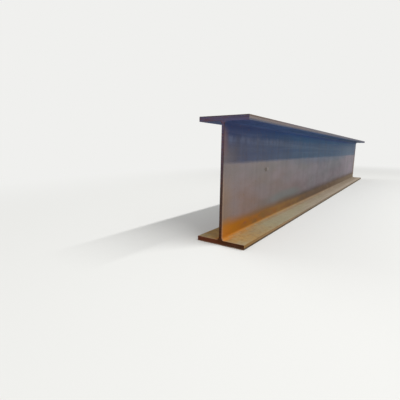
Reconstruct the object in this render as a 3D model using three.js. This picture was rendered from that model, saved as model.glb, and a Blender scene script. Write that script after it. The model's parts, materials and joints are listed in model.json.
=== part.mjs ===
// Hot-rolled steel H-beam, one length of stock.
//
// The beam stands on its bottom flange. X runs along the beam, Y across the flanges and Z up, in
// millimetres. The origin is the middle of the underside.

import * as THREE from 'three';

// ---------------------------------------------------------------- driving dimensions (mm)

const depth = 708; // over both flanges
const flangeWidth = 302;
const webThickness = 15;
const flangeThickness = 28;
const rootRadius = 18; // hollow fillet where the web runs into a flange
const flangeEdgeRadius = 2; // rolled edges along the flange tips
const beamLength = 5000; // between the two sawn ends

const arcFacets = 10; // flats that stand for each quarter turn of the section's arcs

// ---------------------------------------------------------------- finish

const rustedSteel = new THREE.MeshStandardMaterial({
  color: 0x6d625c,
  roughness: 0.7,
  metalness: 0.55,
});

// ---------------------------------------------------------------- section

const quarterTurn = Math.PI / 2;

/**
 * The quarter arcs down one side of the section, from the bottom face round to the top face.
 *
 * Centres are measured from the centre of the section: `across` towards the flange tip and `up`
 * along the web. An arc that turns clockwise is hollow, as at the roots.
 */
function arcsOfOneSide() {
  const edgeAcross = flangeWidth / 2 - flangeEdgeRadius;
  const outerEdgeUp = depth / 2 - flangeEdgeRadius;
  const innerEdgeUp = depth / 2 - flangeThickness + flangeEdgeRadius;
  const rootAcross = webThickness / 2 + rootRadius;
  const rootUp = depth / 2 - flangeThickness - rootRadius;

  const flangeEdge = (up, startAngle) => ({
    across: edgeAcross,
    up,
    radius: flangeEdgeRadius,
    startAngle,
    endAngle: startAngle + quarterTurn,
    clockwise: false,
  });
  const root = (up, startAngle) => ({
    across: rootAcross,
    up,
    radius: rootRadius,
    startAngle,
    endAngle: startAngle - quarterTurn,
    clockwise: true,
  });

  return [
    flangeEdge(-outerEdgeUp, -quarterTurn),
    flangeEdge(-innerEdgeUp, 0),
    root(-rootUp, -quarterTurn),
    root(rootUp, -2 * quarterTurn),
    flangeEdge(innerEdgeUp, -quarterTurn),
    flangeEdge(outerEdgeUp, 0),
  ];
}

/**
 * The closed outline of the section, standing on its bottom face.
 *
 * The second side is the first one turned half round about the section's centre. Each arc is
 * joined to the one before it by a straight line, and those lines are the section's flat faces.
 */
function beamSection() {
  const outline = new THREE.Shape();
  for (const turn of [0, Math.PI]) {
    for (const arc of arcsOfOneSide()) {
      const centre = new THREE.Vector2(arc.across, arc.up).rotateAround(new THREE.Vector2(), turn);
      outline.absarc(
        centre.x,
        centre.y + depth / 2,
        arc.radius,
        arc.startAngle + turn,
        arc.endAngle + turn,
        arc.clockwise,
      );
    }
  }
  outline.closePath();
  return outline;
}

// ---------------------------------------------------------------- beam

/** The section drawn out between two square, sawn ends. */
function rolledBeam() {
  const geometry = new THREE.ExtrudeGeometry(beamSection(), {
    depth: beamLength,
    bevelEnabled: false,
    curveSegments: arcFacets / 2, // an arc is cut into twice this many flats
  });

  // The section is drawn in the XY plane and extruded along Z: turn its x to Y, its y to Z and
  // the extrusion to X.
  const alongX = new THREE.Vector3(1, 0, 0);
  const alongY = new THREE.Vector3(0, 1, 0);
  const alongZ = new THREE.Vector3(0, 0, 1);
  geometry.applyMatrix4(new THREE.Matrix4().makeBasis(alongY, alongZ, alongX));

  const mesh = new THREE.Mesh(geometry, rustedSteel);
  mesh.name = 'h_beam';
  mesh.position.x = -beamLength / 2;
  return mesh;
}

const part = new THREE.Group();
part.add(rolledBeam());

export default part;
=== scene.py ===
"""Weathered hot-rolled H-beam: the finish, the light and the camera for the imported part.

One piece: the rolled section is drawn again from its sizes with the small hollows and soft edges
that rolling and handling leave, and wears the finish of mild steel that has stood outdoors.
Sizes are in metres, X runs along the beam, Y across its flanges and Z up its web.
"""

import json
import logging
import math
from dataclasses import asdict, dataclass, field
from enum import Enum
from functools import partial
from typing import Any, Callable, Mapping

import bpy
from mathutils import Matrix, Vector


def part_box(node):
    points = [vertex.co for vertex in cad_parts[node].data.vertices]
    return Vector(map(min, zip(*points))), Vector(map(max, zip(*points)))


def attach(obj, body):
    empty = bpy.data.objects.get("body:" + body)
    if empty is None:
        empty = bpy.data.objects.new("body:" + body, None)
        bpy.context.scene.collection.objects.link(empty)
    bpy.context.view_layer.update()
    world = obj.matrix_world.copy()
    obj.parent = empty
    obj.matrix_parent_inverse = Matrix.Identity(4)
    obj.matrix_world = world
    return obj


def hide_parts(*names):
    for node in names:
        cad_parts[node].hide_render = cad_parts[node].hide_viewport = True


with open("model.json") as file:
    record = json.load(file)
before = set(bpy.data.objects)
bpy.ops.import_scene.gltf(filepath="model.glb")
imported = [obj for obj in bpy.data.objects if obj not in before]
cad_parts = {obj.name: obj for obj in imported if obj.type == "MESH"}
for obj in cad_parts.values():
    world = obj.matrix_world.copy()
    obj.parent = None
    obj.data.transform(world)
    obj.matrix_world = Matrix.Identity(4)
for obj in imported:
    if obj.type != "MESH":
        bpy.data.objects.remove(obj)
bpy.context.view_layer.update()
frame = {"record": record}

log = logging.getLogger("h_beam")
MM = 0.001


# ------------------------------------------------------------------------------ helpers


# What adds a node to a tree that is already chosen, partial(add_node, tree), and what can feed it.
Adder = Callable[..., bpy.types.Node]
Feed = float | bpy.types.Node | bpy.types.NodeSocket

# Kinds and settings that many nodes share.
MATH = "ShaderNodeMath"
VECTOR_MATH = "ShaderNodeVectorMath"
MAP_RANGE = "ShaderNodeMapRange"
MIX = "ShaderNodeMix"
SMOOTH = {"interpolation_type": "SMOOTHSTEP"}
COLOURED = {"data_type": "RGBA"}


def live_socket(
    sockets: bpy.types.NodeInputs | bpy.types.NodeOutputs, key: int | str
) -> bpy.types.NodeSocket:
    """Finds a socket among those that a node's settings leave in use.

    Args:
        sockets: The node's inputs or outputs.
        key: The socket's name, or its place among the sockets in use.

    Returns:
        The socket.
    """
    in_use = [socket for socket in sockets if socket.enabled]
    if isinstance(key, int):
        return in_use[key]
    return next(socket for socket in in_use if socket.name == key)


def add_node(
    tree: bpy.types.NodeTree,
    kind: str,
    settings: Mapping[str, Any] | str | None = None,
    feeds: Mapping[int | str, Any] | None = None,
    stops: "Tone | Mapping[float, Tone] | None" = None,
) -> bpy.types.Node:
    """Adds one node with its settings and what feeds it.

    Args:
        tree: The tree that gets the node.
        kind: The node's type name.
        settings: The node's own properties, or its operation alone.
        feeds: For an input's name or place, a constant, a socket, or a node whose first output
            is meant.
        stops: For a colour ramp, the tone at each share of it, or its one tone.

    Returns:
        The new node.
    """
    node = tree.nodes.new(kind)
    if isinstance(settings, str):
        settings = {"operation": settings}
    if isinstance(stops, Tone):
        stops = {0.0: stops}
    for name, value in (settings or {}).items():
        setattr(node, name, value)
    for number, (share, tone) in enumerate((stops or {}).items()):
        ramp = node.color_ramp.elements
        stop = ramp[number] if number < 2 else ramp.new(share)
        stop.position = share
        stop.color = linear(tone.value)
    if stops and len(stops) == 1:
        node.color_ramp.elements.remove(node.color_ramp.elements[1])
    for key, value in (feeds or {}).items():
        entry = live_socket(node.inputs, key)
        if isinstance(value, bpy.types.Node):
            value = live_socket(value.outputs, 0)
        if isinstance(value, bpy.types.NodeSocket):
            tree.links.new(value, entry)
        else:
            entry.default_value = value
    return node


def linear(colour: str) -> tuple[float, float, float, float]:
    """Turns an sRGB hex colour such as #7a706c into linear red, green, blue and alpha."""
    shares = [int(colour[i : i + 2], 16) / 255 for i in (1, 3, 5)]
    return (*(s / 12.92 if s <= 0.04045 else ((s + 0.055) / 1.055) ** 2.4 for s in shares), 1.0)


def add_object(name: str, data: Any) -> bpy.types.Object:
    """Adds an object to the scene.

    Args:
        name: Its name.
        data: Its mesh, lamp or camera.

    Returns:
        The object.
    """
    made = bpy.data.objects.new(name, data)
    bpy.context.scene.collection.objects.link(made)
    return made


def blank_nodes(owner: bpy.types.Material | bpy.types.World) -> Adder:
    """Gives a material or the world an empty node tree.

    Args:
        owner: The material or world.

    Returns:
        What adds nodes to the tree.
    """
    owner.use_nodes = True
    owner.node_tree.nodes.clear()
    return partial(add_node, owner.node_tree)


def stance(place: tuple[float, float, float], way: Vector) -> Matrix:
    """Works out how a lamp or camera stands with its first side level.

    Args:
        place: Its middle.
        way: Direction it looks in.

    Returns:
        Its place and turn.
    """
    return Matrix.Translation(place) @ way.to_track_quat("-Z", "Y").to_matrix().to_4x4()


# ------------------------------------------------------------------------------ the section


SOCKET_KINDS = {float: "NodeSocketFloat", int: "NodeSocketInt", bpy.types.Material: "NodeSocketMaterial"}


@dataclass(frozen=True)
class RolledSection:
    """Sizes of the rolled section.

    Attributes:
        depth: Height over both flanges.
        width: Width of a flange.
        web: Thickness of the web.
        flange: Thickness of a flange.
        length: Length between the sawn ends.
        root_radius: Hollow fillet between web and flange.
        edge_radius: Rounding along the flange tips.
    """

    depth: float
    width: float
    web: float
    flange: float
    length: float
    root_radius: float = 18 * MM
    edge_radius: float = 2 * MM

    @classmethod
    def from_frame(cls, record: Mapping[str, Any]) -> "RolledSection":
        """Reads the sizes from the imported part.

        Args:
            record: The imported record, whose mounts lie on the section's faces.

        Returns:
            The section.
        """
        low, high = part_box("h_beam")
        size = high - low
        place = {mount["name"]: mount["pos_m"] for mount in record["mounts"]}
        return cls(
            depth=size.z,
            width=size.y,
            web=2 * place["web_back_face"][1],
            flange=place["bottom_flange_clamp_seat_back"][2],
            length=size.x,
        )


@dataclass(frozen=True)
class RolledSweep:
    """Geometry Nodes that draw the section and run it out to length.

    Attributes:
        arc_points: Points that make each rounded corner of the section.
        panel: Size of the mesh panels on the flat faces.
        hollow: Deepest the faces dip below true, as rolling leaves them.
        hollow_span: Size of those dips.
        seed: Picks where the dips fall.
        crisp_from: Bend over which an edge isn't smoothed.
    """

    arc_points: int = 7
    panel: float = 20 * MM
    hollow: float = 0.5 * MM
    hollow_span: float = 260 * MM
    seed: int = 7
    crisp_from: float = math.radians(40)

    def tree(self, inputs: Mapping[str, Any]) -> bpy.types.GeometryNodeTree:
        """Builds the node tree.

        Args:
            inputs: The name and value of each size and material that the tree takes.

        Returns:
            The tree, with an input of each name.
        """
        tree = bpy.data.node_groups.new("rolled_h_section", "GeometryNodeTree")
        for name, value in inputs.items():
            kind = SOCKET_KINDS[type(value)]
            tree.interface.new_socket(name, in_out="INPUT", socket_type=kind)
        tree.interface.new_socket("Beam", in_out="OUTPUT", socket_type="NodeSocketGeometry")

        add = partial(add_node, tree)
        size = add("NodeGroupInput").outputs
        path = self._path(add, size)
        outline = self._outline(add, size)
        drawn = add(
            "GeometryNodeCurveToMesh", feeds={"Curve": path, "Profile Curve": outline, "Fill Caps": True}
        )
        finished = self._finish(add, size, self._hollows(add, size, drawn))
        add("NodeGroupOutput", feeds={"Beam": finished})
        return tree

    @staticmethod
    def _path(add: Adder, size: bpy.types.NodeOutputs) -> bpy.types.Node:
        """Adds the line that the section runs along.

        Args:
            add: Adds a node to the tree.
            size: Outputs of the group's input node.

        Returns:
            A straight curve at mid-depth, with a point at each panel's end.
        """
        half = add(MATH, "MULTIPLY", {0: size["length"], 1: 0.5})
        minus_half = add(MATH, "MULTIPLY", {0: half, 1: -1.0})
        middle = add(MATH, "MULTIPLY", {0: size["depth"], 1: 0.5})
        start = add("ShaderNodeCombineXYZ", feeds={"X": minus_half, "Z": middle})
        end = add("ShaderNodeCombineXYZ", feeds={"X": half, "Z": middle})
        line = add("GeometryNodeCurvePrimitiveLine", feeds={"Start": start, "End": end})
        return add(
            "GeometryNodeResampleCurve", {"mode": "LENGTH"}, {"Curve": line, "Length": size["panel"]}
        )

    @staticmethod
    def _outline(add: Adder, size: bpy.types.NodeOutputs) -> bpy.types.Node:
        """Draws the closed outline of the section about its own centre.

        A ring of twelve points, three to a quarter, is the section's twelve corners: in each
        quarter the lowest point moves to the root, the next to the flange's inner edge and the
        highest to its outer edge. The corners are then rounded and the flats cut into panels.

        Args:
            add: Adds a node to the tree.
            size: Outputs of the group's input node.

        Returns:
            The outline.
        """
        corner_count = 12
        step = math.tau / corner_count
        root_limit = 0.5  # parts the steepness of the root from that of the inner edge
        outer_limit = 0.85  # parts that of the inner edge from that of the outer edge
        ring = add("GeometryNodeCurvePrimitiveCircle", feeds={"Resolution": corner_count})
        index = add("GeometryNodeInputIndex")
        angle = add(MATH, "MULTIPLY_ADD", {0: index, 1: step, 2: step / 2})
        sine = add(MATH, "SINE", {0: angle})
        cosine = add(MATH, "COSINE", {0: angle})
        steepness = add(MATH, "ABSOLUTE", {0: sine})
        is_root = add("FunctionNodeCompare", "LESS_THAN", {"A": steepness, "B": root_limit})
        is_outer = add("FunctionNodeCompare", "GREATER_THAN", {"A": steepness, "B": outer_limit})
        inner_depth = add(MATH, "MULTIPLY_ADD", {0: size["flange"], 1: -2.0, 2: size["depth"]})
        span, height, radius = (
            add(
                "GeometryNodeSwitch",
                {"input_type": "FLOAT"},
                {"Switch": is_special, "False": plain, "True": special},
            )
            for is_special, plain, special in (
                (is_root, size["width"], size["web"]),
                (is_outer, inner_depth, size["depth"]),
                (is_root, size["edge_radius"], size["root_radius"]),
            )
        )
        side = add(MATH, "SIGN", {0: cosine})
        level = add(MATH, "SIGN", {0: sine})
        across = add(MATH, "MULTIPLY", {0: span, 1: side})
        up = add(MATH, "MULTIPLY", {0: height, 1: level})
        doubled = add("ShaderNodeCombineXYZ", feeds={"X": across, "Y": up})
        corner = add(VECTOR_MATH, "SCALE", {"Vector": doubled, "Scale": 0.5})
        corners = add("GeometryNodeSetPosition", feeds={"Geometry": ring, "Position": corner})
        rounded = add(
            "GeometryNodeFilletCurve",
            {"mode": "POLY"},
            {"Curve": corners, "Count": size["arc_points"], "Radius": radius},
        )

        here = add("GeometryNodeInputPosition")
        next_point = add("GeometryNodeOffsetPointInCurve", feeds={"Point Index": index, "Offset": 1})
        there = add(
            "GeometryNodeFieldAtIndex",
            {"data_type": "FLOAT_VECTOR", "domain": "POINT"},
            {"Value": here, "Index": next_point.outputs["Point Index"]},
        )
        flat = add(VECTOR_MATH, "DISTANCE", {0: here, 1: there})
        panels = add(MATH, "DIVIDE", {0: flat, 1: size["panel"]})
        cuts = add(MATH, "FLOOR", {0: panels})
        return add("GeometryNodeSubdivideCurve", feeds={"Curve": rounded, "Cuts": cuts})

    @staticmethod
    def _hollows(add: Adder, size: bpy.types.NodeOutputs, drawn: bpy.types.Node) -> bpy.types.Node:
        """Lets the faces dip a little below true, and never rise above it.

        Args:
            add: Adds a node to the tree.
            size: Outputs of the group's input node.
            drawn: The true section run out to length.

        Returns:
            The same mesh with its faces dipped inwards.
        """
        here = add("GeometryNodeInputPosition")
        spread = add(MATH, "DIVIDE", {0: 1.0, 1: size["hollow_span"]})
        dips = add(
            "ShaderNodeTexNoise",
            {"noise_dimensions": "4D"},
            {"Vector": here, "W": size["seed"], "Scale": spread, "Detail": 2.0},
        )
        depth = add(MATH, "MULTIPLY", {0: dips, 1: size["hollow"]})
        normal = add("GeometryNodeInputNormal")
        across_only = add(VECTOR_MATH, "MULTIPLY", {0: normal, 1: (0.0, -1.0, -1.0)})
        inwards = add(VECTOR_MATH, "SCALE", {"Vector": across_only, "Scale": depth})
        return add("GeometryNodeSetPosition", feeds={"Geometry": drawn, "Offset": inwards})

    @staticmethod
    def _finish(add: Adder, size: bpy.types.NodeOutputs, mesh: bpy.types.Node) -> bpy.types.Node:
        """Smooths the rounded corners, keeps the sawn edges crisp and sets both materials.

        Args:
            add: Adds a node to the tree.
            size: Outputs of the group's input node.
            mesh: The beam's mesh.

        Returns:
            The finished mesh.
        """
        smooth = add(
            "GeometryNodeSetShadeSmooth", {"domain": "FACE"}, {"Geometry": mesh, "Shade Smooth": True}
        )
        bend = add("GeometryNodeInputMeshEdgeAngle")
        is_crisp = add(
            "FunctionNodeCompare",
            "GREATER_THAN",
            {"A": bend.outputs["Unsigned Angle"], "B": size["crisp_from"]},
        )
        creased = add(
            "GeometryNodeSetShadeSmooth",
            {"domain": "EDGE"},
            {"Geometry": smooth, "Selection": is_crisp, "Shade Smooth": False},
        )
        realized = add("GeometryNodeRealizeInstances", feeds={"Geometry": creased})
        skinned = add("GeometryNodeSetMaterial", feeds={"Geometry": realized, "Material": size["skin"]})
        normal = add("GeometryNodeInputNormal")
        facing = add("ShaderNodeSeparateXYZ", feeds={"Vector": normal})
        lengthwise = add(MATH, "ABSOLUTE", {0: facing})
        least_lengthwise = 0.5  # of the normal: an end has 1 and a rolled face hardly any
        is_sawn = add("FunctionNodeCompare", "GREATER_THAN", {"A": lengthwise, "B": least_lengthwise})
        return add(
            "GeometryNodeSetMaterial",
            feeds={"Geometry": skinned, "Selection": is_sawn, "Material": size["sawn"]},
        )

    def mesh(
        self, section: RolledSection, skin: bpy.types.Material, sawn: bpy.types.Material
    ) -> bpy.types.Mesh:
        """Runs the tree on an empty object and keeps what it makes.

        Args:
            section: The section's sizes.
            skin: Material of the rolled faces.
            sawn: Material of the two ends.

        Returns:
            A plain mesh in the beam's own place.
        """
        # The tree's inputs have the names of the fields.
        inputs = asdict(section) | asdict(self) | {"skin": skin, "sawn": sawn}
        blank = add_object("sweep", bpy.data.meshes.new("sweep"))
        modifier = blank.modifiers.new("rolled section", "NODES")
        modifier.node_group = self.tree(inputs)
        for item in modifier.node_group.interface.items_tree:
            if item.in_out == "INPUT":
                modifier[item.identifier] = inputs[item.name]
        depsgraph = bpy.context.evaluated_depsgraph_get()
        made = bpy.data.meshes.new_from_object(blank.evaluated_get(depsgraph), depsgraph=depsgraph)
        bpy.data.objects.remove(blank)
        return made


# ------------------------------------------------------------------------------ the finishes


class Tone(Enum):
    """Colours of the steel's skin, of the rust on it and of its sawn ends, as sRGB hex."""

    # Tones named for shade, reflection or light are painted shade, painted reflection or painted light, in
    # whole or in part.
    INDIGO_SCALE_AND_SHADE = "#424d74"
    BLUE_SCALE_AND_SHADE = "#3b6085"
    DEEP_SCALE_AND_SHADE = "#294a80"
    # Painted shade for the root under the upper flange.
    ROOT_PAINTED_SHADE = "#2c3860"
    AZURE_SCALE_AND_SHADE = "#33568a"
    UNDER_FLANGE_SCALE_AND_SHADE = "#4c638f"
    DUSK_SCALE_AND_SHADE = "#444e66"
    VIOLET_SLATE_AND_SHADE = "#5f667f"
    SLATE_SCALE_AND_SHADE = "#516781"
    PALE_SCALE_AND_REFLECTION = "#6c7e94"
    CHALK = "#76809a"
    TEAL_OXIDE = "#66716f"
    TAUPE_OXIDE = "#7c7270"
    GREY_OXIDE = "#69686f"
    ROSE_OXIDE = "#6c6469"
    SMOKE_OXIDE = "#5b5e6c"
    MAUVE_OXIDE_AND_REFLECTION = "#8a8189"
    WARM_OXIDE = "#816b60"
    # Painted light spilt past the upper flange's end onto the shaded web.
    PLUM_SPILL_LIGHT = "#7d6568"
    RAIN_DARK = "#57504e"
    RAIN_PALE = "#9a918c"
    FRESH_RUST = "#be6f12"
    BRIGHT_RUST = "#c97f30"
    YELLOW_RUST = "#a8792a"
    AMBER_RUST = "#a2661f"
    RED_RUST = "#935a38"
    OCHRE_RUST = "#7e5c36"
    UMBER_RUST = "#675648"
    DUN_RUST = "#7d6d5d"
    HONEY_RUST = "#8a6a41"
    OCHRE_DUST = "#bb7f38"
    STRAW_DUST = "#b6955f"
    SAND_DUST = "#a6885a"
    LOAM_DUST = "#8c734d"
    TAN_DUST = "#94795a"
    OLIVE_DUST = "#9b9479"
    STONE_DUST = "#9a8c7b"
    SILT_DUST = "#a39886"
    DULL_DUST = "#8a7e6c"
    PALE_DUST_AND_REFLECTION = "#b2a695"
    GRIME = "#4e4236"
    SAWN_MAUVE = "#5c5878"
    SAWN_PLUM = "#625366"
    SAWN_UMBER = "#4c3934"
    SAWN_BROWN = "#4b2812"
    SAWN_RED = "#74402f"
    # Burr, with the highlight along the sawn arrises painted in.
    BURR_AND_HIGHLIGHT = "#a08570"


class Sheen(Enum):
    """How each kind of layer takes the light: its roughness, and how far it shines as metal.

    Rust and dust are matt and no metal. Oxide that is still tight, and steel that a saw has cut or
    something has rubbed, keep a little of the metal's shine.
    """

    TIGHT_SCALE = (0.5, 0.06)
    EVEN_SCALE = (0.52, 0.06)
    WORN_SCALE = (0.55, 0.05)
    TIGHT_OXIDE = (0.58, 0.05)
    OXIDE = (0.6, 0.05)
    CHALK = (0.7, 0.0)
    GRIME = (0.8, 0.0)
    RUST = (0.85, 0.0)
    LOOSE_RUST = (0.9, 0.0)
    SAWN = (0.75, 0.05)
    SAWN_TINT = (0.7, 0.06)
    SAW_MARK = (0.75, 0.0)
    RUBBED = (0.5, 0.3)


class Face(Enum):
    """The groups of faces that a coat can lie on."""

    ALL = "all"
    WEB = "web"
    UPPER_EDGE = "upper edge"
    LOWER_EDGE = "lower edge"
    LEDGE = "ledge"
    SOFFIT = "soffit"
    OUTSIDE = "outside"


class Gauge(Enum):
    """Distances over the beam that colours and borders follow."""

    ALONG = "share of the length from one sawn end"
    INSET = "metres to the nearer sawn end"
    RISE = "share of the web's height from its foot"
    REACH = "share of a flange's overhang from the web"
    SKIN = "metres from the nearer outer face, through the depth"


@dataclass(frozen=True)
class Lie:
    """How the point in view lies on the beam, as sockets that the coats read.

    Attributes:
        add: Adds a node to the material's tree.
        place: Its place in metres.
        faces: For each group of faces, 1 on it.
        gauges: Its place by each gauge.
    """

    add: Adder
    place: Feed
    faces: Mapping[Face, Feed]
    gauges: Mapping[Gauge, Feed]

    @classmethod
    def read(cls, add: Adder, section: RolledSection) -> "Lie":
        """Adds the nodes that find the point's place on the section.

        Args:
            add: Adds a node to the material's tree.
            section: The section's sizes.

        Returns:
            The sockets.
        """
        seen = add("ShaderNodeTexCoord").outputs
        place = add("ShaderNodeSeparateXYZ", feeds={0: seen["Object"]}).outputs
        facing = add("ShaderNodeSeparateXYZ", feeds={0: seen["Normal"]}).outputs
        aside = add(MATH, "ABSOLUTE", {0: place["Y"]})
        offset = add(MATH, "ABSOLUTE", {0: place["X"]})
        lateral = add(MATH, "ABSOLUTE", {0: facing["Y"]})
        below = add(MATH, "SUBTRACT", {0: section.depth, 1: place["Z"]})
        skin = add(MATH, "MINIMUM", {0: place["Z"], 1: below})
        half = section.length / 2
        inset = add(MATH, "SUBTRACT", {0: half, 1: offset})
        spans = {
            Gauge.ALONG: (place["X"], -half, half),
            Gauge.RISE: (place["Z"], section.flange, section.depth - section.flange),
            Gauge.REACH: (aside, section.web / 2, section.width / 2),
        }
        gauges: dict[Gauge, Feed] = {Gauge.INSET: inset, Gauge.SKIN: skin}
        for gauge, (value, start, end) in spans.items():
            gauges[gauge] = add(MAP_RANGE, feeds={"Value": value, "From Min": start, "From Max": end})

        # Each turns from 0 to 1 round a corner, or half way up or out, between two groups of faces.
        cuts = {
            "side": (lateral, 0.3, 0.9),
            "up": (facing["Z"], 0.4, 0.95),
            "down": (facing["Z"], -0.4, -0.95),
            "low": (gauges[Gauge.RISE], 0.51, 0.49),
            "high": (gauges[Gauge.RISE], 0.49, 0.51),
            "inner": (gauges[Gauge.REACH], 0.51, 0.49),
            "outer": (gauges[Gauge.REACH], 0.49, 0.51),
        }
        is_cut = {
            name: add(MAP_RANGE, SMOOTH, {"Value": value, "From Min": start, "From Max": end})
            for name, (value, start, end) in cuts.items()
        }
        edge = add(MATH, "MULTIPLY", {0: is_cut["side"], 1: is_cut["outer"]})
        pairs = {
            Face.WEB: (is_cut["side"], is_cut["inner"]),
            Face.UPPER_EDGE: (edge, is_cut["high"]),
            Face.LOWER_EDGE: (edge, is_cut["low"]),
            Face.LEDGE: (is_cut["up"], is_cut["low"]),
            Face.SOFFIT: (is_cut["down"], is_cut["high"]),
            Face.OUTSIDE: (is_cut["up"], is_cut["high"]),
        }
        faces: dict[Face, Feed] = {Face.ALL: 1.0}
        for face, (first, second) in pairs.items():
            faces[face] = add(MATH, "MULTIPLY", {0: first, 1: second})
        faces[Face.OUTSIDE] = add(
            MATH, "MULTIPLY_ADD", {0: is_cut["down"], 1: is_cut["low"], 2: faces[Face.OUTSIDE]}
        )
        return cls(add, seen["Object"], faces, gauges)


@dataclass(frozen=True)
class Mottle:
    """Irregular patches of one real size.

    Attributes:
        size: A patch's length along the beam, width across the flanges and height, in
            millimetres.
        low: Noise level under which there is none of it.
        high: Noise level over which it is full.
        detail: How many finer sizes are mixed in.
        seed: Picks where the patches fall.
    """

    size: tuple[float, float, float]
    low: float = 0.35
    high: float = 0.65
    detail: int = 3
    seed: int = 0

    def spread(self, lie: Lie) -> bpy.types.Node:
        """Adds the patches.

        Args:
            lie: How the point lies on the beam.

        Returns:
            A node that is 0 between the patches and 1 on them.
        """
        sides = [side * MM for side in self.size]
        scaled = lie.add(VECTOR_MATH, "DIVIDE", {0: lie.place, 1: sides})
        noise = lie.add(
            "ShaderNodeTexNoise",
            {"noise_dimensions": "4D"},
            {"Vector": scaled, "W": self.seed, "Scale": 1.0, "Detail": self.detail},
        )
        return lie.add(MAP_RANGE, SMOOTH, {"Value": noise, "From Min": self.low, "From Max": self.high})


@dataclass(frozen=True)
class Fade:
    """A change over one gauge, along a line that may be frayed.

    Attributes:
        gauge: The gauge it follows.
        start: Where it is 0.
        full: Where it is 1.
        fray: How far the line wanders, in the gauge's own measure.
        grain: What it wanders with.
    """

    gauge: Gauge
    start: float
    full: float
    fray: float = 0.0
    grain: Mottle = Mottle((120, 120, 120), 0.2, 0.8, 5)

    def spread(self, lie: Lie) -> bpy.types.Node:
        """Adds the change.

        Args:
            lie: How the point lies on the beam.

        Returns:
            A node that is 0 before the line and 1 past it.
        """
        value = lie.gauges[self.gauge]
        if self.fray:
            wander = self.grain.spread(lie)
            value = lie.add(MATH, "MULTIPLY_ADD", {0: wander, 1: self.fray, 2: value})
        return lie.add(MAP_RANGE, SMOOTH, {"Value": value, "From Min": self.start, "From Max": self.full})


@dataclass(frozen=True)
class Spot:
    """One small place with a soft edge.

    Attributes:
        place: Its middle.
        size: How far it reaches from its middle along the beam, across it and up.
        core: Share of that reach within which it is full.
    """

    place: tuple[float, float, float]
    size: tuple[float, float, float]
    core: float = 0.4

    def spread(self, lie: Lie) -> bpy.types.Node:
        """Adds the spot.

        Args:
            lie: How the point lies on the beam.

        Returns:
            A node that is 1 in its middle and 0 off it.
        """
        offset = lie.add(VECTOR_MATH, "SUBTRACT", {0: lie.place, 1: self.place})
        scaled = lie.add(VECTOR_MATH, "DIVIDE", {0: offset, 1: self.size})
        away = lie.add(VECTOR_MATH, "LENGTH", {0: scaled})
        return lie.add(MAP_RANGE, SMOOTH, {"Value": away, "From Min": 1.0, "From Max": self.core})


@dataclass(frozen=True)
class Coat:
    """One layer of a finish.

    Attributes:
        face: The faces it lies on.
        run: Its one tone, or its tones, each with the share of the beam's length where it
            stands alone.
        sheen: How it takes the light.
        limits: What it is kept within.
        strength: How much of what is under it is hidden.
        relief: How far it stands up, in millimetres.
        turns: For a pattern, the run of tones that takes over as far as the pattern goes.
    """

    face: Face
    run: Tone | Mapping[float, Tone]
    sheen: Sheen
    limits: tuple[Fade | Mottle | Spot, ...] = ()
    strength: float = 1.0
    relief: float = 0.0
    turns: Mapping[Fade | Mottle, Tone | Mapping[float, Tone]] = field(default_factory=dict)

    def cover(self, lie: Lie) -> Feed:
        """Adds the nodes for how much of what is under the coat is hidden.

        Args:
            lie: How the point lies on the beam.

        Returns:
            That share.
        """
        share = lie.faces[self.face]
        for limit in self.limits:
            share = lie.add(MATH, "MULTIPLY", {0: share, 1: limit.spread(lie)})
        if self.strength < 1.0:
            share = lie.add(MATH, "MULTIPLY", {0: share, 1: self.strength})
        return share

    def colour(self, lie: Lie) -> bpy.types.Node:
        """Adds the nodes for the coat's colour.

        Args:
            lie: How the point lies on the beam.

        Returns:
            The node that gives it.
        """
        along = lie.gauges[Gauge.ALONG]
        colour = lie.add("ShaderNodeValToRGB", feeds={0: along}, stops=self.run)
        for pattern, run in self.turns.items():
            other = lie.add("ShaderNodeValToRGB", feeds={0: along}, stops=run)
            share = pattern.spread(lie)
            colour = lie.add(MIX, COLOURED, {"Factor": share, "A": colour, "B": other})
        return colour


@dataclass(frozen=True)
class Finish:
    """A material made of coats laid one over another.

    Attributes:
        name: What the material is.
        coats: Its coats, lowest first; the first covers everything.
        grain: Texture of the surface itself.
        grain_depth: How deep that texture is, in millimetres.
        specular: Level of its plain reflection; oxide and rust are porous and keep it low.
        shade: For a pattern, how far it darkens or lightens every coat.
    """

    name: str
    coats: tuple[Coat, ...]
    grain: Mottle
    grain_depth: float
    specular: float = 0.02
    shade: Mapping[Mottle, float] = field(default_factory=dict)

    def material(self, section: RolledSection) -> bpy.types.Material:
        """Makes the material.

        Args:
            section: Sizes of the beam that wears it.

        Returns:
            The material.
        """
        made = bpy.data.materials.new(self.name)
        add = blank_nodes(made)
        lie = Lie.read(add, section)
        first = self.coats[0]
        colour = first.colour(lie)
        roughness, metal = first.sheen.value
        grain = self.grain.spread(lie)
        height = add(MATH, "MULTIPLY", {0: grain, 1: self.grain_depth})
        for coat in self.coats[1:]:
            cover = coat.cover(lie)
            over = coat.colour(lie)
            colour = add(MIX, COLOURED, {"Factor": cover, "A": colour, "B": over})
            rough, shine = coat.sheen.value
            roughness = add(MIX, feeds={"Factor": cover, "A": roughness, "B": rough})
            metal = add(MIX, feeds={"Factor": cover, "A": metal, "B": shine})
            if coat.relief:
                height = add(MATH, "MULTIPLY_ADD", {0: cover, 1: coat.relief, 2: height})
        for pattern, amount in self.shade.items():
            level = add(
                MAP_RANGE,
                feeds={"Value": pattern.spread(lie), "To Min": 1.0 - amount, "To Max": 1.0 + amount},
            )
            colour = add(VECTOR_MATH, "SCALE", {"Vector": colour, "Scale": level})
        # Heights are in millimetres.
        bump = add("ShaderNodeBump", feeds={"Distance": MM, "Height": height})
        steel = add(
            "ShaderNodeBsdfPrincipled",
            feeds={
                "Base Color": colour,
                "Metallic": metal,
                "Specular IOR Level": self.specular,
                "Roughness": roughness,
                "Normal": bump,
            },
        )
        add("ShaderNodeOutputMaterial", feeds={"Surface": steel})
        return made


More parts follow.
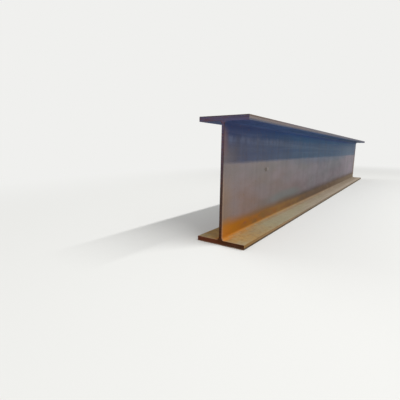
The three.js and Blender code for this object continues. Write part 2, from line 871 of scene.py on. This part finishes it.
# What weather and the rolls leave on the faces, in real sizes. Crumbs, flecks, chips and grain of a
# few millimetres and rain runs one drop wide are finer than the eye makes out on a whole beam, so
# these are drawn about three times as coarse as they are.
CLOUDS = Mottle((500, 160, 160), seed=1)
BLUSHES = Mottle((350, 200, 120), seed=8)
RAIN_RUNS = Mottle((30, 30, 600), 0.48, 0.72, 2, seed=2)
BROAD_RUNS = Mottle((110, 110, 1200), 0.45, 0.68, 2, seed=19)
DRIED_RUNS = Mottle((25, 25, 350), 0.58, 0.75, 2, seed=11)
DULL_RUNS = Mottle((70, 70, 300), 0.42, 0.64, 5, seed=30)
CHALK_RUNS = Mottle((42, 42, 110), 0.4, 0.64, 6, seed=9)
ROLL_LINES = Mottle((1600, 10, 10), 0.42, 0.66, 2, seed=3)
ROLL_BANDS = Mottle((1100, 30, 30), 0.42, 0.62, seed=22)
PALE_BANDS = Mottle((900, 20, 22), 0.46, 0.64, seed=24)
BLOTCHES = Mottle((120, 60, 50), 0.35, 0.7, 4, seed=4)
PATCHES = Mottle((220, 90, 90), 0.46, 0.58, 5, seed=5)
CRUMBS = Mottle((32, 26, 26), 0.46, 0.66, 5, seed=23)
DUST_CRUMBS = Mottle((45, 32, 32), 0.46, 0.66, 5, seed=27)
FINE_RUST = Mottle((15, 13, 13), 0.48, 0.74, 5, seed=31)
FLECKS = Mottle((16, 12, 12), 0.62, 0.7, 2, seed=6)
CHIPS = Mottle((14, 14, 9), 0.36, 0.5, 4, seed=25)
GRAIN = Mottle((7, 7, 7), 0.25, 0.75, 4, seed=7)

OXIDE_COATS = (
    # The thin even oxide under everything, warmer towards the foot of the web; its paler far end is painted
    # reflection.
    Coat(
        Face.ALL,
        {0.12: Tone.TAUPE_OXIDE, 0.45: Tone.GREY_OXIDE, 0.68: Tone.GREY_OXIDE, 0.85: Tone.MAUVE_OXIDE_AND_REFLECTION},
        Sheen.TIGHT_OXIDE,
        turns={
            Fade(Gauge.RISE, 0.6, 0.25): {
                0.0: Tone.WARM_OXIDE, 0.4: Tone.ROSE_OXIDE, 0.68: Tone.ROSE_OXIDE, 0.88: Tone.MAUVE_OXIDE_AND_REFLECTION
            },
        },
    ),
    # Tints where it has weathered a little further or less.
    Coat(Face.WEB, Tone.TEAL_OXIDE, Sheen.OXIDE, (CLOUDS,), strength=0.25),
    Coat(Face.WEB, Tone.MAUVE_OXIDE_AND_REFLECTION, Sheen.WORN_SCALE, (BLUSHES,), strength=0.3),
)

# Where the unbroken scale lies, short of both its borders.
UPPER_WEB = (Fade(Gauge.RISE, 0.7, 0.76), Fade(Gauge.RISE, 0.96, 0.9))

SCALE_AND_PAINTED_SHADE_COATS = (
    # Mill scale left over the upper web, thinned and then washed off below by rain. Its blue is partly
    # painted shade: the bluish shade that the upper flange casts, bordered on that shadow's line.
    Coat(
        Face.WEB, Tone.SLATE_SCALE_AND_SHADE, Sheen.WORN_SCALE,
        (Fade(Gauge.RISE, 0.54, 0.66, 0.02), Fade(Gauge.ALONG, 0.1, 0.4), Fade(Gauge.ALONG, 0.9, 0.65)),
        strength=0.35,
    ),
    # The scale's paler far end is painted reflection.
    Coat(
        Face.WEB,
        {0.05: Tone.VIOLET_SLATE_AND_SHADE, 0.3: Tone.SLATE_SCALE_AND_SHADE, 0.6: Tone.SLATE_SCALE_AND_SHADE, 0.85: Tone.PALE_SCALE_AND_REFLECTION},
        Sheen.EVEN_SCALE,
        (Fade(Gauge.RISE, 0.64, 0.69, 0.014, Mottle((40, 40, 400), 0.2, 0.8, 4)),),
        relief=0.1,
    ),
    Coat(
        Face.WEB,
        {0.02: Tone.INDIGO_SCALE_AND_SHADE, 0.3: Tone.BLUE_SCALE_AND_SHADE, 0.75: Tone.BLUE_SCALE_AND_SHADE, 1.0: Tone.PALE_SCALE_AND_REFLECTION},
        Sheen.TIGHT_SCALE,
        (Fade(Gauge.RISE, 0.86, 0.93, 0.02, Mottle((50, 50, 300), 0.2, 0.8, 4)),),
    ),
    # Painted shade: the head of the web grows darker and bluer towards the upper flange.
    Coat(
        Face.WEB,
        {
            0.05: Tone.INDIGO_SCALE_AND_SHADE,
            0.2: Tone.AZURE_SCALE_AND_SHADE,
            0.5: Tone.DEEP_SCALE_AND_SHADE,
            0.75: Tone.DEEP_SCALE_AND_SHADE,
            0.95: Tone.BLUE_SCALE_AND_SHADE,
        },
        Sheen.TIGHT_SCALE,
        (Fade(Gauge.RISE, 0.92, 0.985),),
    ),
    # Darker and paler bands that the rolls drew along it.
    Coat(
        Face.WEB, {0.0: Tone.INDIGO_SCALE_AND_SHADE, 0.2: Tone.DEEP_SCALE_AND_SHADE}, Sheen.WORN_SCALE,
        (*UPPER_WEB, ROLL_BANDS), strength=0.16,
    ),
    Coat(
        Face.WEB, {0.0: Tone.CHALK, 0.3: Tone.PALE_SCALE_AND_REFLECTION}, Sheen.WORN_SCALE,
        (*UPPER_WEB, PALE_BANDS), strength=0.3,
    ),
    # Rain runs that have dulled it near the sawn end.
    Coat(
        Face.WEB, Tone.RAIN_DARK, Sheen.OXIDE,
        (Fade(Gauge.RISE, 0.64, 0.7), Fade(Gauge.RISE, 0.93, 0.85), Fade(Gauge.ALONG, 0.3, 0.1), DULL_RUNS),
        strength=0.2,
    ),
    # Short runs of chalk where water leaves the root fillet.
    Coat(
        Face.WEB, Tone.CHALK, Sheen.CHALK,
        (
            Fade(Gauge.RISE, 0.8, 0.86),
            Fade(Gauge.RISE, 0.91, 0.87),
            Fade(Gauge.ALONG, 0.45, 0.1),
            CHALK_RUNS,
        ),
        strength=0.45,
    ),
    # Scale under the upper flange, partly painted with the dark blue of the shade there.
    Coat(
        Face.SOFFIT,
        {0.0: Tone.INDIGO_SCALE_AND_SHADE, 0.06: Tone.UNDER_FLANGE_SCALE_AND_SHADE, 0.45: Tone.UNDER_FLANGE_SCALE_AND_SHADE, 0.8: Tone.DUSK_SCALE_AND_SHADE},
        Sheen.OXIDE,
        turns={
            Mottle((400, 40, 40), seed=10): {
                0.0: Tone.INDIGO_SCALE_AND_SHADE, 0.12: Tone.UNDER_FLANGE_SCALE_AND_SHADE, 0.45: Tone.SLATE_SCALE_AND_SHADE
            },
        },
    ),
    # Painted shade: the root between the web and the upper flange is darkened, as shade falls there.
    Coat(
        Face.ALL, Tone.ROOT_PAINTED_SHADE, Sheen.OXIDE,
        (Fade(Gauge.RISE, 0.96, 0.985), Fade(Gauge.REACH, 0.14, 0.04)), strength=0.27,
    ),
    # Painted light: beside each sawn end, light that reaches in past the upper flange's end warms the
    # shaded scale, in a broad stripe lower down and a narrow one above.
    Coat(
        Face.WEB, Tone.TAUPE_OXIDE, Sheen.OXIDE,
        (Fade(Gauge.INSET, 0.3, 0.03, 0.03, BLOTCHES), Fade(Gauge.RISE, 0.87, 0.73)), strength=0.65,
    ),
    Coat(
        Face.WEB, Tone.PLUM_SPILL_LIGHT, Sheen.OXIDE,
        (
            Fade(Gauge.INSET, 0.075, 0.015, 0.01, BLOTCHES),
            Fade(Gauge.RISE, 0.99, 0.9),
            Fade(Gauge.RISE, 0.66, 0.8),
        ),
        strength=0.75,
    ),
)

WEATHER_COATS = (
    # Runs that rain has darkened, narrow and broad, and pale ones where it has dried.
    Coat(Face.WEB, Tone.RAIN_DARK, Sheen.OXIDE, (RAIN_RUNS,), strength=0.1),
    Coat(Face.WEB, Tone.RAIN_DARK, Sheen.OXIDE, (BROAD_RUNS,), strength=0.12),
    Coat(Face.WEB, Tone.RAIN_PALE, Sheen.CHALK, (DRIED_RUNS,), strength=0.1),
    # Flecks of rust that have come through.
    Coat(Face.WEB, Tone.OCHRE_RUST, Sheen.RUST, (FLECKS,), strength=0.3, relief=0.1),
    # A damp patch above the rust, greener than the oxide round it.
    Coat(
        Face.WEB, Tone.TEAL_OXIDE, Sheen.OXIDE,
        (Spot((-1.43, -0.0075, 0.162), (0.5, 0.03, 0.062)),), strength=0.5,
    ),
    # A knock on the web, down to dark oxide, with its flake curled up beside it.
    Coat(
        Face.WEB, Tone.RAIN_PALE, Sheen.OXIDE,
        (Spot((-1.864, -0.0075, 0.4), (0.026, 0.01, 0.015)), CHIPS), strength=0.45, relief=0.4,
    ),
    Coat(
        Face.WEB, Tone.GRIME, Sheen.GRIME,
        (Spot((-1.9, -0.0075, 0.396), (0.036, 0.01, 0.019)), CHIPS), strength=0.55, relief=-0.5,
    ),
)

RUST_COATS = (
    # Rust at the foot of the web, brightest where the sawn end lets water in.
    Coat(
        Face.WEB,
        {
            0.03: Tone.AMBER_RUST,
            0.09: Tone.OCHRE_RUST,
            0.2: Tone.HONEY_RUST,
            0.4: Tone.UMBER_RUST,
            0.58: Tone.UMBER_RUST,
            1.0: Tone.DULL_DUST,
        },
        Sheen.RUST,
        (Fade(Gauge.RISE, 0.215, 0.095, 0.02, Mottle((350, 100, 100), 0.3, 0.7)),),
        relief=0.3,
        turns={
            BLOTCHES: {
                0.0: Tone.YELLOW_RUST, 0.04: Tone.AMBER_RUST, 0.3: Tone.UMBER_RUST, 0.8: Tone.DUN_RUST
            },
            Mottle((90, 50, 40), 0.5, 0.85, 4, seed=12): {
                0.0: Tone.RED_RUST, 0.35: Tone.UMBER_RUST, 0.8: Tone.DUN_RUST
            },
            Fade(Gauge.RISE, 0.09, 0.14): {
                0.0: Tone.AMBER_RUST, 0.09: Tone.OCHRE_RUST, 0.3: Tone.GRIME, 0.75: Tone.UMBER_RUST
            },
            # Dust and a painted highlight: the fillet at the very foot of the web turns paler.
            Fade(Gauge.RISE, 0.03, 0.0): {
                0.03: Tone.OCHRE_DUST, 0.2: Tone.SAND_DUST, 0.4: Tone.TAN_DUST, 0.65: Tone.DUN_RUST
            },
        },
    ),
    Coat(
        Face.WEB, Tone.AMBER_RUST, Sheen.RUST,
        (Fade(Gauge.RISE, 0.21, 0.12, 0.03, BLOTCHES), Fade(Gauge.ALONG, 0.04, 0.006)), strength=0.8,
    ),
    Coat(
        Face.WEB, Tone.FRESH_RUST, Sheen.RUST,
        (Fade(Gauge.RISE, 0.15, 0.06), Fade(Gauge.ALONG, 0.03, 0.008)), strength=0.8,
    ),
    # Rust and dust on the ledge, palest where rain rinses its outer half; its paler far end is painted
    # reflection.
    Coat(
        Face.LEDGE,
        {0.0: Tone.STRAW_DUST, 0.04: Tone.SAND_DUST, 0.1: Tone.OLIVE_DUST, 0.4: Tone.STONE_DUST},
        Sheen.RUST,
        relief=0.3,
        turns={
            PATCHES: {0.0: Tone.SAND_DUST, 0.15: Tone.OLIVE_DUST, 0.6: Tone.STONE_DUST},
            Fade(Gauge.REACH, 0.5, 0.85, 0.1): {
                0.03: Tone.SAND_DUST, 0.12: Tone.OLIVE_DUST, 0.3: Tone.SILT_DUST, 0.9: Tone.PALE_DUST_AND_REFLECTION
            },
            Fade(Gauge.REACH, 0.4, 0.05, 0.1): {
                0.0: Tone.OCHRE_DUST, 0.1: Tone.LOAM_DUST, 0.2: Tone.TAN_DUST, 0.65: Tone.DULL_DUST
            },
        },
    ),
    Coat(
        Face.LEDGE, Tone.OLIVE_DUST, Sheen.RUST,
        (Fade(Gauge.INSET, 0.1, 0.02, 0.02, PATCHES), Fade(Gauge.REACH, 0.52, 0.72)), strength=0.6,
    ),
    # Bright rust in the root beside the sawn end.
    Coat(
        Face.LEDGE, Tone.BRIGHT_RUST, Sheen.RUST,
        (Fade(Gauge.REACH, 0.3, 0.05), Fade(Gauge.ALONG, 0.022, 0.006)), strength=0.7,
    ),
    # Lines that the rolls drew, and crumbs and flecks of rust and dust.
    Coat(Face.LEDGE, Tone.OCHRE_RUST, Sheen.LOOSE_RUST, (ROLL_LINES,), strength=0.1),
    Coat(
        Face.LEDGE, {0.0: Tone.OCHRE_RUST, 0.15: Tone.DULL_DUST, 0.5: Tone.DUN_RUST}, Sheen.LOOSE_RUST,
        (CRUMBS,), strength=0.4, relief=0.2,
    ),
    Coat(
        Face.LEDGE, {0.0: Tone.OLIVE_DUST, 0.2: Tone.SILT_DUST, 0.5: Tone.PALE_DUST_AND_REFLECTION}, Sheen.RUST,
        (DUST_CRUMBS,), strength=0.3,
    ),
    Coat(Face.LEDGE, Tone.RED_RUST, Sheen.LOOSE_RUST, (FLECKS,), strength=0.3, relief=0.2),
)

EDGE_COATS = (
    # The flanges' edges: thin oxide on the upper one, rust and dust on the lower one, whose foot is darker,
    # partly grime and partly painted shade.
    Coat(
        Face.UPPER_EDGE,
        {0.0: Tone.TAUPE_OXIDE, 0.28: Tone.TAUPE_OXIDE, 0.45: Tone.GREY_OXIDE, 0.6: Tone.SMOKE_OXIDE},
        Sheen.OXIDE,
        turns={
            Mottle((500, 50, 6), seed=13): {0.0: Tone.TAUPE_OXIDE, 0.3: Tone.GREY_OXIDE},
            Fade(Gauge.SKIN, 0.016, 0.023): Tone.SMOKE_OXIDE,
            Fade(Gauge.SKIN, 0.012, 0.003): {
                0.0: Tone.UMBER_RUST, 0.12: Tone.ROSE_OXIDE, 0.3: Tone.GREY_OXIDE
            },
        },
    ),
    Coat(
        Face.LOWER_EDGE, {0.0: Tone.HONEY_RUST, 0.1: Tone.TAN_DUST, 0.22: Tone.DULL_DUST}, Sheen.GRIME,
        turns={
            Mottle((400, 50, 8), seed=14): {0.0: Tone.HONEY_RUST, 0.3: Tone.DUN_RUST},
            # Painted shade in part: the lower edge darkens towards its foot.
            Fade(Gauge.SKIN, 0.016, 0.005): Tone.GRIME,
        },
    ),
    # Rust over the outer faces, which take the rain and dust, with a little scale left on them.
    Coat(
        Face.OUTSIDE, Tone.OCHRE_RUST, Sheen.RUST,
        relief=0.3,
        turns={
            Mottle((260, 140, 140), 0.34, 0.74, 9, seed=21): Tone.UMBER_RUST,
            Mottle((330, 140, 140), 0.4, 0.85, 6, seed=29): Tone.DUN_RUST,
            Mottle((80, 60, 60), 0.46, 1.05, 9, seed=28): Tone.SAWN_BROWN,
            Mottle((300, 160, 160), 0.6, 0.68, 9, seed=15): Tone.GREY_OXIDE,
        },
    ),
    # Its crust has crumbled in places, and fine bright rust has grown in others.
    Coat(Face.OUTSIDE, Tone.UMBER_RUST, Sheen.LOOSE_RUST, (CRUMBS,), strength=0.4, relief=-0.3),
    Coat(Face.OUTSIDE, Tone.YELLOW_RUST, Sheen.LOOSE_RUST, (FINE_RUST,), strength=0.35),
)

# Beside the saw cut a dark line of rust creeps in over the web, and past it the skin is rubbed, with the
# highlight along the cut arris painted in.
CUT_COATS = (
    Coat(
        Face.WEB, Tone.HONEY_RUST, Sheen.CHALK,
        (Fade(Gauge.INSET, 0.16, 0.03, 0.02, BLOTCHES), Fade(Gauge.RISE, 0.62, 0.35)), strength=0.3,
    ),
    Coat(
        Face.WEB, Tone.BURR_AND_HIGHLIGHT, Sheen.CHALK,
        (Fade(Gauge.INSET, 0.024, 0.012), Fade(Gauge.RISE, 0.66, 0.45)), strength=0.35,
    ),
    Coat(Face.LEDGE, Tone.BURR_AND_HIGHLIGHT, Sheen.OXIDE, (Fade(Gauge.INSET, 0.014, 0.006),), strength=0.45),
    Coat(
        Face.WEB, Tone.SAWN_UMBER, Sheen.GRIME,
        (Fade(Gauge.INSET, 0.009, 0.004, 0.002, BLOTCHES),), strength=0.9,
    ),
)

# Hot-rolled mild steel keeps a thin skin of mill scale from the mill, blue-grey and faintly
# glossy. Weather takes it off lower down, where a matt taupe oxide shows, and rust gathers
# wherever water and dust lie: at the foot of the web, on the ledge and on the outer faces.
# Some coats are painted light as well: the bluish shade under the upper flange and in its root, light spilt
# past the sawn ends, paler far ends painted as reflection, highlights on the foot's fillet and at the cut,
# and shade at the foot of the lower edge.
ROLLED_SKIN = Finish(
    name="hot_rolled_mild_steel",
    coats=OXIDE_COATS + SCALE_AND_PAINTED_SHADE_COATS + WEATHER_COATS + RUST_COATS + EDGE_COATS + CUT_COATS,
    grain=GRAIN,
    grain_depth=0.35,
    shade={GRAIN: 0.07, Mottle((300, 100, 100), 0.2, 0.8, seed=16): 0.05},
)

SPECKS = Mottle((20, 60, 20), 0.5, 0.62, 4, seed=17)
SAW_MARKS = Mottle((20, 300, 8), 0.45, 0.6, seed=18)

SAWN_COATS = (
    # A film of rust, umber at mid-height, plum above and brown below, with a mauve tint at the top.
    Coat(
        Face.ALL, Tone.SAWN_UMBER, Sheen.SAWN,
        turns={Fade(Gauge.RISE, 0.35, 0.9): Tone.SAWN_PLUM, Fade(Gauge.RISE, 0.25, 0.0): Tone.SAWN_BROWN},
    ),
    Coat(
        Face.ALL, Tone.SAWN_MAUVE, Sheen.SAWN_TINT,
        (Fade(Gauge.RISE, 0.85, 1.0), Mottle((100, 160, 12), 0.3, 0.6, seed=20)),
    ),
    # Redder specks, saw marks that hold grime, and one redder lower corner.
    Coat(Face.ALL, Tone.SAWN_RED, Sheen.GRIME, (SPECKS,), strength=0.3),
    Coat(Face.ALL, Tone.GRIME, Sheen.SAW_MARK, (SAW_MARKS,), strength=0.4),
    Coat(
        Face.ALL, Tone.SAWN_RED, Sheen.GRIME, (Spot((-2.5, 0.11, 0.014), (0.1, 0.13, 0.06)),), strength=0.6
    ),
    # Burr along the lower edge, rubbed bright, with the highlight its arris catches painted in, and grime
    # along the upper one.
    Coat(
        Face.ALL, Tone.BURR_AND_HIGHLIGHT, Sheen.RUBBED,
        (
            Fade(Gauge.SKIN, 0.006, 0.002),
            Fade(Gauge.RISE, 0.5, 0.4),
            Mottle((100, 70, 100), 0.3, 0.52, seed=26),
        ),
        strength=0.8,
    ),
    Coat(
        Face.ALL, Tone.GRIME, Sheen.CHALK,
        (Fade(Gauge.SKIN, 0.007, 0.002), Fade(Gauge.RISE, 0.5, 0.6)), strength=0.6,
    ),
)

# A band saw leaves the ends flat and finely scored, and they rust plum to brown within weeks. Its
# marks are a millimetre apart and are drawn three times as far apart.
SAWN_FACE = Finish(
    name="sawn_mild_steel",
    coats=SAWN_COATS,
    grain=Mottle((20, 300, 3), 0.3, 0.7, 2, seed=18),
    grain_depth=0.25,
    shade={GRAIN: 0.08},
)


# ------------------------------------------------------------------------------ the beam


@dataclass(frozen=True)
class HBeam:
    """The beam: one piece of rolled stock.

    Attributes:
        section: Its sizes.
        sweep: What draws its mesh.
        skin: Finish of its rolled faces.
        sawn: Finish of its ends.
    """

    section: RolledSection
    sweep: RolledSweep
    skin: Finish
    sawn: Finish

    def build(self) -> bpy.types.Object:
        """Makes the piece that stands for the beam's CAD node.

        Returns:
            The dressed piece.
        """
        skin = self.skin.material(self.section)
        sawn = self.sawn.material(self.section)
        piece = add_object("rolled_beam", self.sweep.mesh(self.section, skin, sawn))
        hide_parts("h_beam")
        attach(piece, "root")
        return piece


# ------------------------------------------------------------------------------ the studio


@dataclass(frozen=True)
class NearEndCamera:
    """A camera off the near end of the beam, a little below its top, that looks along its side.

    Attributes:
        place: Where it stands, from the middle of the beam's underside.
        aim: Direction it looks in.
        roll: Degrees that its right-hand side is turned up.
        lens: Focal length in millimetres, for a sensor of the usual 36 mm.
    """

    place: tuple[float, float, float] = (-3.867, -0.805, 0.536)
    aim: tuple[float, float, float] = (0.81021, 0.55979, -0.17378)
    roll: float = 0.812
    lens: float = 26.325

    def set_up(self) -> None:
        """Adds the camera and makes it the scene's."""
        data = bpy.data.cameras.new("camera")
        data.lens = self.lens
        data.clip_start = 0.05
        data.clip_end = 200.0
        camera = add_object("camera", data)
        tilt = Matrix.Rotation(math.radians(self.roll), 4, "Z")
        camera.matrix_world = stance(self.place, Vector(self.aim)) @ tilt
        bpy.context.scene.camera = camera


@dataclass(frozen=True)
class Lamp:
    """An oblong soft lamp, hung with its first side level.

    Attributes:
        name: Its name.
        place: Its middle.
        aim: The point it faces.
        sides: Lengths of its sides.
        power: Its power in watts.
    """

    name: str
    place: tuple[float, float, float]
    aim: tuple[float, float, float]
    sides: tuple[float, float]
    power: float

    def hang(self) -> None:
        """Adds the lamp to the scene."""
        data = bpy.data.lights.new(self.name, "AREA")
        data.shape = "RECTANGLE"
        data.size, data.size_y = self.sides
        data.energy = self.power
        lamp = add_object(self.name, data)
        lamp.matrix_world = stance(self.place, Vector(self.aim) - Vector(self.place))


# One long strip hangs parallel to the beam, high off its front side, so that the upper flange
# throws a straight-edged shadow on the web. A wide lamp softens the back.
KEY = Lamp("key", (-1.0, -4.45, 7.43), aim=(-1.0, -0.1, 0.5), sides=(10.0, 0.3), power=620.0)
FILL = Lamp("fill", (-1.0, 6.5, 4.0), aim=(0.0, 0.0, 0.3), sides=(6.0, 6.0), power=130.0)


@dataclass(frozen=True)
class Studio:
    """A plain pale floor with soft light from all round and from two lamps.

    Attributes:
        lamps: Its lamps.
        sky: Level of the light that comes evenly from all round.
        backdrop: Colour that shows behind the beam.
        floor: Colour of the floor under the beam.
        floor_span: Length of the floor's side.
        clear_from: Distance to the beam's side at which the floor starts to pass into the
            backdrop; it is twice as far off its ends.
        clear_by: Distance by which it has.
    """

    lamps: tuple[Lamp, ...] = (KEY, FILL)
    sky: float = 0.48
    backdrop: str = "#f0f0ee"
    floor: str = "#e6e6e3"
    floor_span: float = 120.0
    clear_from: float = 1.3
    clear_by: float = 4.5

    def set_up(self) -> None:
        """Adds the sky, the floor and the lamps."""
        self._light_sky()
        self._lay_floor()
        for lamp in self.lamps:
            lamp.hang()

    def _light_sky(self) -> None:
        """Lights the scene evenly, and shows the backdrop's own colour to the camera."""
        world = bpy.data.worlds.new("studio")
        add = blank_nodes(world)
        seen = self._seen(add)
        light = add("ShaderNodeBackground", feeds={"Color": linear("#ffffff"), "Strength": self.sky})
        shown = add("ShaderNodeBackground", feeds={"Color": linear(self.backdrop)})
        mixed = add("ShaderNodeMixShader", feeds={0: seen, 1: light, 2: shown})
        add("ShaderNodeOutputWorld", feeds={"Surface": mixed})
        bpy.context.scene.world = world

    @staticmethod
    def _seen(add: Adder) -> bpy.types.Node:
        """Adds nodes for who looks.

        Args:
            add: Adds a node to the tree.

        Returns:
            A node that is 1 where the eye, a reflection or clear glass looks, and 0 for lighting.
        """
        path = add("ShaderNodeLightPath").outputs
        mirrored = add(MATH, "MAXIMUM", {0: path["Is Camera Ray"], 1: path["Is Glossy Ray"]})
        return add(MATH, "MAXIMUM", {0: mirrored, 1: path["Is Transmission Ray"]})

    def _lay_floor(self) -> None:
        """Lays a level floor whose far part takes the backdrop's colour."""
        half = self.floor_span / 2
        mesh = bpy.data.meshes.new("floor")
        corners = [(-half, -half, 0.0), (half, -half, 0.0), (half, half, 0.0), (-half, half, 0.0)]
        mesh.from_pydata(corners, [], [(0, 1, 2, 3)])
        floor = add_object("floor", mesh)

        material = bpy.data.materials.new("matt_studio_floor")
        add = blank_nodes(material)
        place = add("ShaderNodeTexCoord").outputs["Object"]
        drawn_in = add(VECTOR_MATH, "MULTIPLY", {0: place, 1: (0.5, 1.0, 1.0)})
        distance = add(VECTOR_MATH, "LENGTH", {0: drawn_in})
        far = add(
            MAP_RANGE, SMOOTH, {"Value": distance, "From Min": self.clear_from, "From Max": self.clear_by}
        )
        clear = add(MATH, "MULTIPLY", {0: far, 1: self._seen(add)})
        matt = add("ShaderNodeBsdfDiffuse", feeds={"Color": linear(self.floor)})
        shown = add("ShaderNodeEmission", feeds={"Color": linear(self.backdrop)})
        mixed = add("ShaderNodeMixShader", feeds={0: clear, 1: matt, 2: shown})
        add("ShaderNodeOutputMaterial", feeds={"Surface": mixed})
        mesh.materials.append(material)


def main() -> None:
    """Builds the beam, then the studio around it."""
    logging.basicConfig(level=logging.INFO, format="%(name)s: %(message)s")
    bpy.context.scene.view_settings.view_transform = "Standard"
    section = RolledSection.from_frame(frame["record"])
    beam = HBeam(section, RolledSweep(), ROLLED_SKIN, SAWN_FACE).build()
    log.info("%s: %d faces", beam.name, len(beam.data.polygons))
    Studio().set_up()
    NearEndCamera().set_up()


if __name__ == "__main__":
    main()
